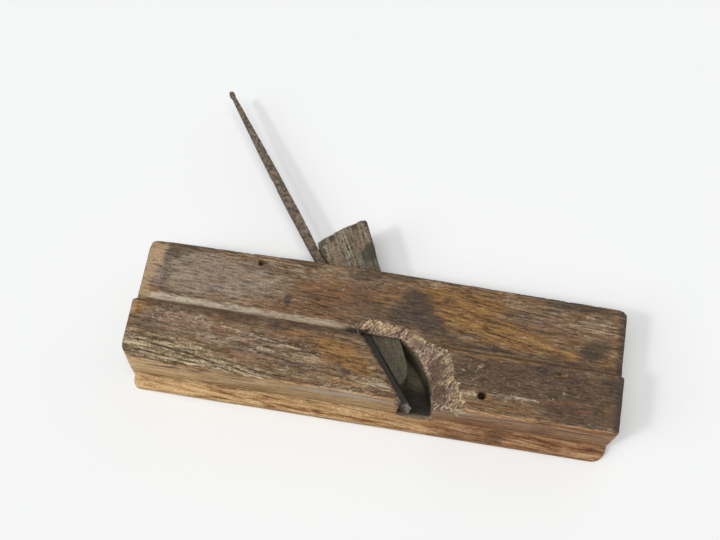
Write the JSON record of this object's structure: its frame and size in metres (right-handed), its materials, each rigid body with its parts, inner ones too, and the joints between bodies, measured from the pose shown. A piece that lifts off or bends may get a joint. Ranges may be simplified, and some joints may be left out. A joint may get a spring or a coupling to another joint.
{
  "type": "wooden moulding plane",
  "caption": "Old side-escapement wooden moulding plane with a stepped stock, a fence under the sole, a tanged iron and a wedge, lying on its blind side.",
  "frame": {"origin": "the blind side, which the plane lies on, at the middle of the stock's length and height", "axes": "+X from heel to toe along the stock, +Y from the sole to the top, +Z from the blind side to the open side with the escapement"},
  "size_m": [0.2421, 0.1668, 0.0455],
  "materials": {
    "stock_wood": "old dry brown wood, dull, with eroded grain and stains",
    "wedge_wood": "grey-brown weathered wood, battered at the head",
    "rusty_iron": "forged iron with brown rust"
  },
  "bodies": {
    "stock": {"stock": "stock_wood"},
    "iron": {"iron": "rusty_iron"},
    "wedge": {"wedge": "wedge_wood"}
  },
  "joints": [
    {"name": "iron_slide", "type": "slide", "parent": "stock", "child": "iron", "axis": [-0.6157, 0.788, 0], "range_m": [-0.003, 0.085]},
    {"name": "wedge_slide", "type": "slide", "parent": "stock", "child": "wedge", "axis": [-0.5299, 0.848, 0], "range_m": [0, 0.08]}
  ]
}
